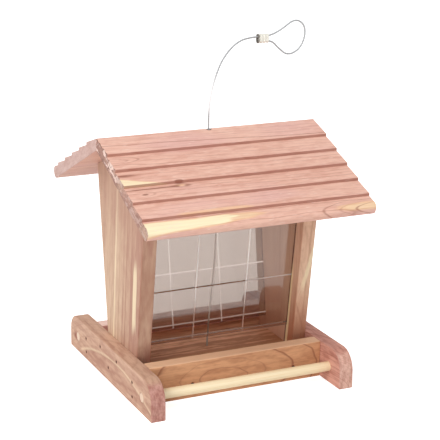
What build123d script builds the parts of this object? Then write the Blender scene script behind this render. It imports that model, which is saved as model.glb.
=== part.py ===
from build123d import *
import os
from math import cos, pi, radians, sin, tan

# Hanging hopper bird feeder in red cedar, in millimetres and degrees.
# X runs along the ridge, the front faces -Y, and Z = 0 is the underside of the base.

# Cedar boards
BOARD = 19.0            # dressed thickness of the rails, the floor and the walls
EASED_EDGE = 1.5        # rounding along the top edges of the tray rails

# Base frame
BASE_WIDTH = 276.0      # over the outer faces of the two side rails
RAIL_LENGTH = 288.0
RAIL_HEIGHT = 48.0      # side rails and tray rails are ripped to one width
RAIL_CORNER = 25.0      # rounding of the side rails' upper ends
TRAY_WIDTH = 184.0      # over the outer faces of the two tray rails
FLOOR_RAISE = 9.0       # recess under the floor that hides the cable stop

# Perches
PERCH_DIAMETER = 12.7
PERCH_INSET = 30.0      # perch axis to the end of a side rail
PERCH_HEIGHT = 21.5
PERCH_FIT = 0.1         # gap around a perch in its hole

# Gable walls
WALL_FOOT = 96.0        # width of a wall where it stands on the floor
WALL_FLARE = 8.0        # lean of each wall edge, which gives the hopper its V
KERF_DEPTH = 6.0

# Windows
WINDOW = 2.5            # acrylic thickness
WINDOW_SETBACK = 21.5   # pane behind the wall's edge
WINDOW_HEADROOM = 4.3   # front pane's top to the roof, along the slope
WINDOW_ROWS = 3
WINDOW_COLUMNS = 3
WINDOW_FIT = 0.25       # gap on each side of a pane in its kerf
FRONT_SEED_GAP = 26.0   # floor to the front pane's foot, along the slope
REAR_SEED_GAP = 19.0
GROOVE = 1.3            # side of the square cutter that scores a pane on its corner
BAND = 4.5              # scored line above the pane's foot

# Roof
ROOF_OVERHANG = 31.0    # beyond the walls at each gable
RIDGE_HEIGHT = 319.0
RIDGE_JOINT = 15.0      # height of the plumb joint between the two boards
ROOF_PITCH = 24.6
COURSES = 6             # laps milled into each board
COURSE_RUN = 28.0       # level distance from one lap to the next
FIRST_COURSE = 36.0
EAVE_COURSE = 20.0
LAP_STEP = 3.4          # plumb face at the foot of a lap
EAVE_ROUND = 7.0
ROOF_SEAT = 0.3         # gap between the loose roof and the gables
CABLE_HOLE = 8.0        # through the ridge

# Hanging cable
CABLE_DIAMETER = 2.4
CABLE_FIT = 0.3         # gap around the cable in metal pieces
FLOOR_HOLE = 4.0
WASHER_DIAMETER = 16.0
WASHER_THICKNESS = 1.2
STOP_DIAMETER = 5.4
STOP_LENGTH = 5.6
FERRULE_LENGTH = 15.0
FERRULE_WIDTH = 12.0    # across both barrels
FERRULE_THICKNESS = 7.0
FERRULE_PITCH = 5.0     # between the two barrels
FERRULE_WAIST = 0.7     # depth of the crimped waists
FERRULE_MOUTH = 4.2     # opening left at the end where the tail stops short
CRIMPS = 3
RUN_SHARE = 0.45        # share of the shorter run that a bend takes

# Route of the cable in the plane of the ridge, as (X, Z), from the stop to the ferrule
CABLE_ROUTE = [
    (0.0, 2.0), (0.0, 42.0), (4.5, 92.0), (10.0, 145.0), (12.0, 196.0), (8.5, 246.0),
    (1.0, 292.0), (0.0, 325.0), (1.0, 352.0), (7.5, 380.0), (19.0, 407.0), (38.0, 426.0),
    (57.0, 431.0), (74.0, 431.0),
]
# Route of the teardrop loop, from the end of the cable round to its tail in the second barrel
CABLE_END = CABLE_ROUTE[-1]
TAIL_HEIGHT = CABLE_END[1] - FERRULE_PITCH
LOOP_ROUTE = [
    CABLE_END, (84.0, 431.0), (101.0, 438.5), (119.0, 451.0), (133.0, 444.0), (135.0, 428.0),
    (127.0, 411.5), (110.0, 404.5), (96.5, 415.0), (86.0, TAIL_HEIGHT), (70.5, TAIL_HEIGHT),
]
TAIL_END = LOOP_ROUTE[-1]

# Nails
NAIL_LENGTH = 38.0
NAIL_SHANK = 1.8
NAIL_HEAD = 3.2
HEAD_THICKNESS = 0.8
NAIL_POINT = 2.5
NAIL_FIT = 0.08         # gap around a nail in the wood
NAIL_DENT = 4.0         # depth of wood that a sunk head clears above itself
WALL_NAIL_HEIGHT = 37.0
WALL_NAIL_REACH = 29.0  # either side of the middle
TRAY_NAIL_RISE = 9.5    # above and below the middle of a tray rail's nailed end
TRAY_NAIL_HEIGHT = 20.0
FRONT_NAIL_PLACES = (-61.0, 80.0)
REAR_NAIL_PLACES = (-80.0, 61.0)
RIDGE_NAIL_INSET = 32.0  # outer ridge nails to the roof's ends
RIDGE_NAIL_REACH = 42.0  # inner ridge nails to the cable
RIDGE_NAIL_LENGTH = 25.0
RIDGE_NAIL_SLANT = 38.0  # below level
RIDGE_NAIL_RUN = 9.0     # from the ridge to the head
RIDGE_NAIL_SINK = 1.2

# Places that follow from the driving dimensions
RAIL_OUTER = BASE_WIDTH / 2
RAIL_INNER = RAIL_OUTER - BOARD
WALL_INNER = RAIL_INNER - BOARD
TRAY_OUTER = TRAY_WIDTH / 2
TRAY_INNER = TRAY_OUTER - BOARD
TRAY_MIDDLE = (TRAY_OUTER + TRAY_INNER) / 2
FLOOR_TOP = FLOOR_RAISE + BOARD
FLOOR_MIDDLE = FLOOR_RAISE + BOARD / 2
PERCH_PLACE = RAIL_LENGTH / 2 - PERCH_INSET
ROOF_LENGTH = 2 * (RAIL_INNER + ROOF_OVERHANG)
ROOF_RISE = tan(radians(ROOF_PITCH))
LAP_SLOPE = ROOF_RISE - LAP_STEP / COURSE_RUN
FLARE = tan(radians(WALL_FLARE))
SIDES = {"left": -1, "right": 1}
ENDS = {"front": -1, "rear": 1}


def bar_along_x(outline, length):
    """A profile drawn in the YZ plane, drawn out to both sides of the middle."""
    return extrude(Plane.YZ * outline, amount=length / 2, both=True)


def side_rail(side):
    """Side rail with rounded upper ends."""
    outline = Pos(0, RAIL_HEIGHT / 2) * Rectangle(RAIL_LENGTH, RAIL_HEIGHT)
    outline = fillet(outline.vertices().group_by(Axis.Y)[-1], RAIL_CORNER)
    return extrude(Plane.YZ.offset(side * RAIL_INNER) * outline, amount=side * BOARD)


def tray_rail(end):
    """Rail between the side rails that keeps the seed on the floor."""
    outline = Pos(end * TRAY_MIDDLE, RAIL_HEIGHT / 2) * Rectangle(BOARD, RAIL_HEIGHT)
    outline = fillet(outline.vertices().group_by(Axis.Y)[-1], EASED_EDGE)
    return bar_along_x(outline, 2 * RAIL_INNER)


def floor_board():
    """Floor between the four rails, bored for the cable."""
    plank = extrude(Pos(0, 0, FLOOR_RAISE) * Rectangle(2 * RAIL_INNER, 2 * TRAY_INNER), amount=BOARD)
    return plank - Pos(0, 0, FLOOR_MIDDLE) * Cylinder(FLOOR_HOLE / 2, 2 * BOARD)


def perch(end, diameter):
    """Dowel through both side rails, flush with their outer faces."""
    return bar_along_x(Pos(end * PERCH_PLACE, PERCH_HEIGHT) * Circle(diameter / 2), BASE_WIDTH)


def roof_underside(run, gap):
    """Height of the roof's underside, less a gap, at a level distance from the ridge."""
    return RIDGE_HEIGHT - RIDGE_JOINT - gap - run * ROOF_RISE


def gable_wall(side):
    """Wall that flares from the floor to the eaves and ends in a gable under the roof."""
    foot = WALL_FOOT / 2
    shoulder = (roof_underside(foot, ROOF_SEAT) - FLOOR_TOP) / (1 + FLARE * ROOF_RISE)
    reach = foot + shoulder * FLARE
    corners = [
        (-foot, FLOOR_TOP),
        (foot, FLOOR_TOP),
        (reach, FLOOR_TOP + shoulder),
        (0, roof_underside(0, ROOF_SEAT)),
        (-reach, FLOOR_TOP + shoulder),
    ]
    outline = make_face(Polyline(*corners, close=True))
    return extrude(Plane.YZ.offset(side * WALL_INNER) * outline, amount=side * BOARD)


def pane_plane(end):
    """Leaning plane of a pane's inner face: local Y climbs the slope, local Z faces out."""
    origin = (0, end * (WALL_FOOT / 2 - WINDOW_SETBACK), FLOOR_TOP)
    lean = radians(WALL_FLARE)
    return Plane(origin=origin, x_dir=(-end, 0, 0), z_dir=(0, end * cos(lean), -sin(lean)))


def kerf(end, seed_gap):
    """Cutter for the slots that hold one pane, from its foot up through the gables."""
    length = RIDGE_HEIGHT
    slot = Box(2 * (WALL_INNER + KERF_DEPTH), length, WINDOW + 2 * WINDOW_FIT)
    return pane_plane(end) * Pos(0, seed_gap + length / 2, WINDOW / 2) * slot


def pane_height():
    """Height of both panes, set by the front one, which ends just below the roof."""
    lean = radians(WALL_FLARE)
    open_height = roof_underside(WALL_FOOT / 2 - WINDOW_SETBACK, 0) - FLOOR_TOP
    climb = open_height / (cos(lean) + sin(lean) * ROOF_RISE)
    return climb - FRONT_SEED_GAP - WINDOW_HEADROOM


def scored_line(length):
    """Bar on its corner that scores a V groove into a pane's outer face, along local Y."""
    return Rot(0, 45, 0) * Box(GROOVE, length, GROOVE)


def window(end, seed_gap):
    """Clear pane scored into squares, with one more line just above its foot."""
    width = 2 * (WALL_INNER + KERF_DEPTH - WINDOW_FIT)
    height = pane_height()
    row_height = height / WINDOW_ROWS
    pane = Pos(0, height / 2, WINDOW / 2) * Box(width, height, WINDOW)
    for column in range(1, WINDOW_COLUMNS):
        across = width * (column / WINDOW_COLUMNS - 1 / 2)
        pane -= Pos(across, height / 2, WINDOW) * scored_line(2 * height)
    for climb in [BAND] + [row * row_height for row in range(1, WINDOW_ROWS)]:
        pane -= Pos(0, climb, WINDOW) * Rot(0, 0, 90) * scored_line(2 * width)
    return pane_plane(end) * Pos(0, seed_gap, 0) * pane


def roof_board(end):
    """Roof board milled into laps, with a plumb ridge joint and a rounded eave."""
    run = FIRST_COURSE
    height = RIDGE_HEIGHT - FIRST_COURSE * LAP_SLOPE
    points = [(0, RIDGE_HEIGHT)]
    for _ in range(COURSES - 1):
        points.append((run, height))
        points.append((run, height - LAP_STEP))
        run += COURSE_RUN
        height -= COURSE_RUN * ROOF_RISE
    eave_run = run - COURSE_RUN + EAVE_COURSE
    eave_height = points[-1][1] - EAVE_COURSE * LAP_SLOPE
    points.append((eave_run, eave_height))
    # The end of the board is square to its underside
    pitch = radians(ROOF_PITCH)
    thickness = (eave_height - roof_underside(eave_run, 0)) * cos(pitch)
    points.append((eave_run - thickness * sin(pitch), eave_height - thickness * cos(pitch)))
    points.append((0, roof_underside(0, 0)))
    outline = make_face(Polyline(*points, close=True))
    outline = fillet(outline.vertices().sort_by(Axis.X)[-2:], EAVE_ROUND)
    if end < 0:
        outline = mirror(outline, about=Plane.YZ)
    board = bar_along_x(outline, ROOF_LENGTH)
    return board - Pos(0, 0, RIDGE_HEIGHT) * Cylinder(CABLE_HOLE / 2, 4 * RIDGE_JOINT)


def nail(length, grow, top):
    """Round nail along +Z with its head at the origin, or its hole when grown and raised."""
    half_shank = NAIL_SHANK / 2 + grow
    half_head = NAIL_HEAD / 2 + grow
    profile = [
        (0, -top),
        (half_head, -top),
        (half_head, HEAD_THICKNESS + grow),
        (half_shank, HEAD_THICKNESS + grow),
        (half_shank, length - NAIL_POINT),
        (0, length + grow),
    ]
    return revolve(Plane.XZ * make_face(Polyline(*profile, close=True)), Axis.Z)


def side_nail_places(side):
    """Nails through a side rail into its wall, the floor and the ends of both tray rails."""
    spots = [(reach * WALL_NAIL_REACH, WALL_NAIL_HEIGHT) for reach in (-1, 1)]
    spots.append((0, FLOOR_MIDDLE))
    for end in ENDS.values():
        for rise in (-1, 1):
            spots.append((end * TRAY_MIDDLE, TRAY_NAIL_HEIGHT + rise * TRAY_NAIL_RISE))
    places = []
    for along, height in spots:
        places.append(Plane(origin=(side * RAIL_OUTER, along, height), z_dir=(-side, 0, 0)))
    return places


def tray_nail_places(end, spots):
    """Nails through a tray rail into the edge of the floor."""
    places = []
    for across in spots:
        places.append(Plane(origin=(across, end * TRAY_OUTER, FLOOR_MIDDLE), z_dir=(0, -end, 0)))
    return places


def ridge_nail_places():
    """Slanted nails through the rear roof board into the front one, across the ridge joint."""
    slant = radians(RIDGE_NAIL_SLANT)
    run = RIDGE_NAIL_RUN - RIDGE_NAIL_SINK * cos(slant)
    height = RIDGE_HEIGHT - RIDGE_NAIL_RUN * LAP_SLOPE - RIDGE_NAIL_SINK * sin(slant)
    outer = ROOF_LENGTH / 2 - RIDGE_NAIL_INSET
    places = []
    for across in (-outer, -RIDGE_NAIL_REACH, RIDGE_NAIL_REACH, outer):
        places.append(Plane(origin=(across, run, height), z_dir=(0, -cos(slant), -sin(slant))))
    return places


def cable_tube(name, route):
    """Round tube along straight runs joined by tangent arcs."""
    points = [Vector(across, 0, height) for across, height in route]
    runs = [after - before for before, after in zip(points, points[1:])]
    radii = []
    for run, following in zip(runs, runs[1:]):
        half_turn = radians(run.get_angle(following)) / 2
        radii.append(RUN_SHARE * min(run.length, following.length) / tan(half_turn))
    path = FilletPolyline(*points, radius=radii)
    start = Plane(origin=path @ 0, z_dir=path % 0)
    tube = sweep(start * Circle(CABLE_DIAMETER / 2), path=path)
    expected = pi * CABLE_DIAMETER**2 / 4 * path.length
    print(name, "radii", [round(radius, 1) for radius in radii])
    print(name, "length", round(path.length, 1), "volume share", round(tube.volume / expected, 4))
    return tube


def metal_bore(length):
    return Cylinder(CABLE_DIAMETER / 2 + CABLE_FIT, length)


def washer():
    """Washer that bears on the underside of the floor."""
    disc = Cylinder(WASHER_DIAMETER / 2, WASHER_THICKNESS) - metal_bore(2 * WASHER_THICKNESS)
    return Pos(0, 0, FLOOR_RAISE - WASHER_THICKNESS / 2) * disc


def stop_sleeve():
    """Round sleeve crimped on the cable under the washer."""
    sleeve = Cylinder(STOP_DIAMETER / 2, STOP_LENGTH) - metal_bore(2 * STOP_LENGTH)
    return Pos(0, 0, FLOOR_RAISE - WASHER_THICKNESS - STOP_LENGTH / 2) * sleeve


def ferrule():
    """Double-barrelled ferrule with crimped waists, around the cable's end and its tail."""
    section = Rot(0, 0, 90) * SlotOverall(FERRULE_WIDTH, FERRULE_THICKNESS)
    waist = offset(section, -FERRULE_WAIST, kind=Kind.ARC)
    body = bar_along_x(waist, FERRULE_LENGTH)
    ridge = FERRULE_LENGTH / (2 * CRIMPS + 1)
    for place in range(CRIMPS + 1):
        across = -FERRULE_LENGTH / 2 + ridge / 2 + 2 * ridge * place
        body += Pos(across, 0, 0) * bar_along_x(section, ridge)
    for barrel in (-1, 1):
        bore = Rot(0, 90, 0) * metal_bore(2 * FERRULE_LENGTH)
        body -= Pos(0, 0, barrel * FERRULE_PITCH / 2) * bore
    # The mouth is open over both barrels, as far in as the end of the tail
    mouth = Rot(0, 0, 90) * SlotOverall(FERRULE_PITCH + FERRULE_MOUTH, FERRULE_MOUTH)
    depth = TAIL_END[0] - CABLE_END[0] + FERRULE_LENGTH / 2
    body -= Pos(-FERRULE_LENGTH / 2, 0, 0) * bar_along_x(mouth, 2 * depth)
    return Pos(CABLE_END[0], 0, (CABLE_END[1] + TAIL_HEIGHT) / 2) * body


def nailed(board, places, length=NAIL_LENGTH):
    """A board with the holes of the nails that pass into it."""
    hole = nail(length, NAIL_FIT, NAIL_DENT)
    for place in places:
        board -= place * hole
    return board


def build():
    side_nails = {name: side_nail_places(side) for name, side in SIDES.items()}
    tray_nails = {
        "front": tray_nail_places(ENDS["front"], FRONT_NAIL_PLACES),
        "rear": tray_nail_places(ENDS["rear"], REAR_NAIL_PLACES),
    }
    seed_gaps = {"front": FRONT_SEED_GAP, "rear": REAR_SEED_GAP}
    both_sides = side_nails["left"] + side_nails["right"]
    nodes = {}
    for name, side in SIDES.items():
        rail = side_rail(side)
        wall = gable_wall(side)
        for end_name, end in ENDS.items():
            rail -= perch(end, PERCH_DIAMETER + 2 * PERCH_FIT)
            wall -= kerf(end, seed_gaps[end_name])
        nodes[f"{name}_side_rail"] = nailed(rail, side_nails[name])
        nodes[f"{name}_gable_wall"] = nailed(wall, side_nails[name][:2])
    nodes["floor_board"] = nailed(floor_board(), both_sides + tray_nails["front"] + tray_nails["rear"])
    for name, end in ENDS.items():
        nodes[f"{name}_tray_rail"] = nailed(tray_rail(end), both_sides + tray_nails[name])
        nodes[f"{name}_perch"] = perch(end, PERCH_DIAMETER)
        nodes[f"{name}_window"] = window(end, seed_gaps[name])
        nodes[f"{name}_roof_board"] = nailed(roof_board(end), ridge_nail_places(), RIDGE_NAIL_LENGTH)
    nodes["hanging_cable"] = cable_tube("hanging_cable", CABLE_ROUTE)
    nodes["cable_washer"] = washer()
    nodes["cable_stop_sleeve"] = stop_sleeve()
    nodes["loop_ferrule"] = ferrule()
    nodes["hanging_loop"] = cable_tube("hanging_loop", LOOP_ROUTE)
    groups = {
        "left_rail_nails": side_nails["left"],
        "right_rail_nails": side_nails["right"],
        "front_tray_nails": tray_nails["front"],
        "rear_tray_nails": tray_nails["rear"],
    }
    for name, places in groups.items():
        nodes[name] = Compound(children=[place * nail(NAIL_LENGTH, 0, 0) for place in places])
    ridge_nail = nail(RIDGE_NAIL_LENGTH, 0, 0)
    nodes["ridge_nails"] = Compound(children=[place * ridge_nail for place in ridge_nail_places()])
    return nodes


os.makedirs("parts", exist_ok=True)
for node, shape in build().items():
    export_step(shape, f"parts/{node}.step")
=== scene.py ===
# %% [markdown]
# # A cedar bird feeder that hangs on a steel cable
# The feeder is a small cedar house: two gable walls on a tray, clear panes between them, and a
# lapped roof that slides up the cable when seed is poured in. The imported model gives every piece
# its size and place. This lesson adds what a maker would: rounded arrises, laid cable and, most of
# all, wood that is grained right through.

# %% Load the frame
from math import cos, radians, sin, tan, tau

import bmesh
import bpy
from mathutils import Matrix, Vector, noise


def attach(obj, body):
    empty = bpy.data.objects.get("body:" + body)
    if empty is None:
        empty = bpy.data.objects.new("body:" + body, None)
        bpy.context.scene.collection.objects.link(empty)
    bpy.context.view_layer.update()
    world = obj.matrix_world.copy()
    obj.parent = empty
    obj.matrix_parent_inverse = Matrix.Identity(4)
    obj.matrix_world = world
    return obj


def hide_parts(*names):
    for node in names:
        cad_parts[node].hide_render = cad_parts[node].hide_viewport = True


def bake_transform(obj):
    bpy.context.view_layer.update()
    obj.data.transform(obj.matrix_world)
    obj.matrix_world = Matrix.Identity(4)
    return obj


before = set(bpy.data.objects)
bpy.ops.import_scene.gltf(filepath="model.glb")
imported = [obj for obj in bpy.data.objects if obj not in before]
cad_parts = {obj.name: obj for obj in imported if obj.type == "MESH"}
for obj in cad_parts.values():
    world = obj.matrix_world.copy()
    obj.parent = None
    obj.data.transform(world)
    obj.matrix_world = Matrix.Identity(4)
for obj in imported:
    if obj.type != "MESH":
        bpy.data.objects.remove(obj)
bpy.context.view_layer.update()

scene = bpy.context.scene

# %% [markdown]
# ## The camera
# A long lens from the front left, a little above the eaves, gives the photograph's nearly parallel
# lines. The camera comes first, because every choice of detail depends on it. Three turns place it:
# its heading, how far it looks down, and a half degree of roll.

# %% Camera
camera_lens = bpy.data.cameras.new("camera")
camera_lens.sensor_width = 36
camera_lens.lens = 118.69
camera = bpy.data.objects.new("camera", camera_lens)
heading = Matrix.Rotation(radians(-25.05), 4, "Z")
looking_down = Matrix.Rotation(radians(90 - 16.05), 4, "X")
roll = Matrix.Rotation(radians(0.56), 4, "Z")
stand = Matrix.Translation((-0.7417, -1.6243, 0.7129))
camera.matrix_world = stand @ heading @ looking_down @ roll
scene.collection.objects.link(camera)
scene.camera = camera
scene.view_settings.view_transform = "Standard"
print("camera", [round(x, 3) for x in camera.matrix_world.translation])

# %% [markdown]
# ## The line of the cable
# The cable comes up through the floor, leans in the empty hopper, passes the ridge and bows over
# to the ferrule, and its end goes round in a teardrop. The routes lie in the plane of the ridge, in
# millimetres. A NURBS spline takes their points as control points, so it has no corners. With no
# bevel it turns into a mesh of bare points, which the strands then follow.

# %% Route and smooth line
CABLE_ROUTE = [
    (0, 2), (0, 42), (4.5, 92), (10, 145), (12, 196), (8.5, 246), (1, 292),
    (0, 325), (1, 352), (7.5, 380), (19, 407), (38, 426), (57, 431), (74, 431),
]
LOOP_ROUTE = [
    (74, 431), (84, 431), (101, 438.5), (119, 451), (133, 444), (135, 428),
    (127, 411.5), (110, 404.5), (96.5, 415), (86, 426), (70.5, 426),
]


def mesh_of_curve(curve):
    """The mesh of a curve, which is then thrown away."""
    holder = bpy.data.objects.new("holder", curve)
    mesh = bpy.data.meshes.new_from_object(holder)
    bpy.data.objects.remove(holder)
    bpy.data.curves.remove(curve)
    return mesh


def smooth_line(route, steps):
    """Points along the NURBS spline of a route."""
    curve = bpy.data.curves.new("route", "CURVE")
    curve.dimensions = "3D"
    spline = curve.splines.new("NURBS")
    spline.points.add(len(route) - 1)
    for point, (across, height) in zip(spline.points, route):
        point.co = (across / 1000, 0, height / 1000, 1)
    spline.order_u = 3
    spline.use_endpoint_u = True
    spline.resolution_u = steps
    mesh = mesh_of_curve(curve)
    line = [vert.co.copy() for vert in mesh.vertices]
    bpy.data.meshes.remove(mesh)
    return line


def run_length(line):
    """Length of a line of points."""
    return sum((after - before).length for before, after in zip(line, line[1:]))


cable_line = smooth_line(CABLE_ROUTE, 44)
loop_line = smooth_line(LOOP_ROUTE, 20)
print("cable", round(run_length(cable_line), 4), "loop", round(run_length(loop_line), 4))

# %% [markdown]
# ## Laying the strands
# Steel cable of this size has six strands wound round a seventh. A plain tube would look like
# plastic, so each strand is a line of its own: the core runs straight, and the others turn round it
# once in every lay. Each line becomes a spline with a round bevel, and the seven make one mesh.

# %% Strands
CABLE_DIAMETER = 0.0024
STRAND_LAY = 0.013
STRANDS = 7


def laid_cable(line):
    """Mesh of seven strands along a line that stays in the plane of the ridge."""
    strand_radius = CABLE_DIAMETER / 6
    curve = bpy.data.curves.new("strands", "CURVE")
    curve.dimensions = "3D"
    curve.bevel_depth = strand_radius
    curve.bevel_resolution = 1
    curve.use_fill_caps = True
    sideways = Vector((0, 1, 0))
    for number in range(STRANDS):
        reach = 2 * strand_radius if number else 0
        spline = curve.splines.new("POLY")
        spline.points.add(len(line) - 1)
        gone = 0
        for place, point in enumerate(line):
            before = line[max(place - 1, 0)]
            after = line[min(place + 1, len(line) - 1)]
            upward = (after - before).normalized().cross(sideways)
            gone += (point - before).length
            angle = tau * (number / (STRANDS - 1) + gone / STRAND_LAY)
            spot = point + reach * (cos(angle) * sideways + sin(angle) * upward)
            spline.points[place].co = (*spot, 1)
    return mesh_of_curve(curve)


cable_mesh = laid_cable(cable_line)
loop_mesh = laid_cable(loop_line)
print("strand faces", len(cable_mesh.polygons), len(loop_mesh.polygons))

# %% [markdown]
# ## Pieces
# Every finished mesh goes through one helper: it makes the object at the origin, smooths what is
# curved, gives it its finish and lets it ride on its body. A cable that bends between two bodies
# rides on neither, so its body is left empty here.

# %% Finished pieces


def finished(name, mesh, body, finish, sharp=35):
    """An object for a mesh, with its finish, riding on a body."""
    mesh.name = name
    if mesh.has_custom_normals:
        mesh.attributes.remove(mesh.attributes["custom_normal"])
    mesh.materials.clear()
    mesh.materials.append(finish)
    mesh.shade_smooth()
    mesh.set_sharp_from_angle(angle=radians(sharp))
    made = bpy.data.objects.new(name, mesh)
    scene.collection.objects.link(made)
    if body:
        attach(made, body)
    print(name, "has", len(mesh.polygons), "faces")
    return made


# %% [markdown]
# ## Rounded arrises
# A sawn board has its sharp edges taken off with a plane or sandpaper, and that thin round edge is
# what catches the light. The imported shape is right, so each board starts as a copy of it: welded,
# its flat faces joined again, and only its long outer edges bevelled. The rims of nail holes stay
# crisp. The new faces carry a mark, so that finishes can darken edges dulled by handling, and
# paint shade round the ends of the perches.

# %% Welded copies
WELD = 1e-6


def welded(node):
    """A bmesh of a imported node, with its split corners joined."""
    bm = bmesh.new()
    bm.from_mesh(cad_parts[node].data)
    bmesh.ops.remove_doubles(bm, verts=bm.verts, dist=WELD)
    return bm


def mesh_from(bm, name):
    """The mesh of a bmesh, which is then freed."""
    mesh = bpy.data.meshes.new(name)
    bm.to_mesh(mesh)
    bm.free()
    return mesh


print("corners closer than", WELD, "m are joined")

# %% Eased copies
SHARP_EDGE = radians(30)
FLAT_JOINT = radians(0.5)
LONG_EDGE = 0.03


def long_edges(bm, least):
    """Sharp outer edges that run on for at least this length."""
    for edge in bm.edges:
        edge.tag = edge.is_manifold and edge.is_convex and edge.calc_face_angle() > SHARP_EDGE
    found = []
    for first in bm.edges:
        if not first.tag:
            continue
        first.tag = False
        run = [first]
        for edge in run:
            for other in [other for vert in edge.verts for other in vert.link_edges]:
                if other.tag:
                    other.tag = False
                    run.append(other)
        corners = [vert.co for edge in run for vert in edge.verts]
        if max(max(axis) - min(axis) for axis in zip(*corners)) > least:
            found += run
    return found


def eased_copy(node, width, least):
    """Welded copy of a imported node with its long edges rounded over."""
    bm = welded(node)
    bmesh.ops.dissolve_limit(bm, angle_limit=FLAT_JOINT, verts=bm.verts, edges=bm.edges)
    eased = bm.faces.layers.float.new("eased")
    edges = long_edges(bm, least)
    bevelled = bmesh.ops.bevel(
        bm, geom=edges, offset=width, segments=3, profile=0.5,
        affect="EDGES", material=-1, clamp_overlap=True,
    )
    for face in bevelled["faces"]:
        face[eased] = 1
    return mesh_from(bm, node)


def eased_piece(node, width, body, finish, least=LONG_EDGE, change=None):
    """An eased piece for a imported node. Its large faces decide how its round edges are shaded."""
    mesh = eased_copy(node, width, least)
    if change:
        change(mesh)
    made = finished(node + "_eased", mesh, body, finish)
    weighted = made.modifiers.new("weighted normals", "WEIGHTED_NORMAL")
    weighted.keep_sharp = True
    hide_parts(node)
    return made


print("edges longer than", LONG_EDGE * 1000, "mm are rounded")

# %% [markdown]
# ## Writing shader maths
# A finish is a graph of nodes, but sums are easier to read as sums. One small class wraps a
# socket, so that adding or multiplying two of them adds a Math node. The operators are alike, so
# one function makes them all.

# %% Values in a shader


def math_node(operation, turned=False):
    """An operator that adds a Math node, with its two inputs turned round where asked."""
    def operator(value, other):
        pair = (other, value) if turned else (value, other)
        return value.graph.only(operation, *pair)
    return operator


class Value:
    """The output of a node, ready for sums."""

    def __init__(self, graph, socket):
        self.graph = graph
        self.socket = socket

    def __abs__(self):
        return self.graph.only("ABSOLUTE", self)

    __add__, __radd__ = math_node("ADD"), math_node("ADD", True)
    __sub__, __rsub__ = math_node("SUBTRACT"), math_node("SUBTRACT", True)
    __mul__, __rmul__ = math_node("MULTIPLY"), math_node("MULTIPLY", True)
    __pow__, __rpow__ = math_node("POWER"), math_node("POWER", True)
    __truediv__ = math_node("DIVIDE")


print("values can be used in sums")

# %% [markdown]
# ## Graphs and finishes
# A graph adds nodes to a tree: one method takes the node's type, what goes into its sockets, which
# output is wanted, and its settings. A finish is the graph of one material. Nodes that finishes
# often need have short names: noise with a seed, a soft step, a mix and a bump.

# %% Graphs and finishes


class Graph:
    """A node tree that is built node by node."""

    def __init__(self, tree):
        self.tree = tree

    def node(self, kind, inputs, output=0, **settings):
        made = self.tree.nodes.new("ShaderNode" + kind)
        for key, value in settings.items():
            setattr(made, key, value)
        for key, value in inputs.items():
            self.feed(made.inputs[key], value)
        return Value(self, made.outputs[output])

    def feed(self, socket, value):
        if isinstance(value, Value):
            self.tree.links.new(value.socket, socket)
        elif isinstance(value, tuple) and len(value) == 3 and socket.type == "RGBA":
            socket.default_value = (*value, 1)
        else:
            socket.default_value = value

    def only(self, operation, value, other=0):
        return self.node("Math", {0: value, 1: other}, operation=operation)

    def ray(self, kind):
        """1 for rays of one kind."""
        return self.node("LightPath", {}, f"Is {kind} Ray")

    def seen_ray(self):
        """1 for rays from the camera, and for what metal and clear panes show of the backdrop."""
        shown = self.only("MAXIMUM", self.ray("Glossy"), self.ray("Transmission"))
        return self.only("MAXIMUM", self.ray("Camera"), shown)


class Finish(Graph):
    """A material with one shader."""

    def __init__(self, name):
        self.material = bpy.data.materials.new(name)
        self.material.use_nodes = True
        super().__init__(self.material.node_tree)
        self.shader = self.tree.nodes["Principled BSDF"]

    def shade(self, **inputs):
        for key, value in inputs.items():
            self.feed(self.shader.inputs[key.replace("_", " ")], value)

    def colour_so_far(self):
        return Value(self, self.shader.inputs["Base Color"].links[0].from_socket)

    def place(self):
        return self.node("TexCoord", {}, "Object")

    def height(self):
        return self.split(self.place())[2]

    def facing(self):
        return self.split(self.node("TexCoord", {}, "Normal"))

    def mark(self, name):
        return self.node("Attribute", {}, "Fac", attribute_name=name)

    def split(self, vector):
        parts = self.node("SeparateXYZ", {0: vector}).socket.node
        return [Value(self, parts.outputs[i]) for i in range(3)]

    def join(self, x, y, z):
        return self.node("CombineXYZ", {0: x, 1: y, 2: z})

    def noise(self, vector, seed, detail=2, scale=1):
        inputs = {"Vector": vector, "W": seed, "Scale": scale, "Detail": detail}
        return self.node("TexNoise", inputs, noise_dimensions="4D")

    def rise(self, value, low, high):
        """0 below low, 1 above high, and a soft step between them."""
        inputs = {"Value": value, "From Min": low, "From Max": high}
        return self.node("MapRange", inputs, interpolation_type="SMOOTHSTEP")

    def mix(self, factor, first, second):
        inputs = {0: factor, 6: first, 7: second}
        return self.node("Mix", inputs, 2, data_type="RGBA", clamp_factor=True)

    def bump(self, height, strength, distance):
        inputs = {"Height": height, "Strength": strength, "Distance": distance}
        return self.node("Bump", inputs)


print("each finish is a graph with a shader of its own")

# %% [markdown]
# ## A board in its tree
# Cedar is drawn as a tree grows, so a board first has to know which way its grain runs, which way
# its face is wide and which way it is deep. Noise that is stretched along the grain then gives
# clouds, stripes or fibres, depending on how far. A wall also has to know its leaning edges.

# %% Board
HALF_FOOT = 0.048
FLOOR_TOP = 0.028
WALL_LEAN = radians(8)
WALL_FLARE = tan(WALL_LEAN)


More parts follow.
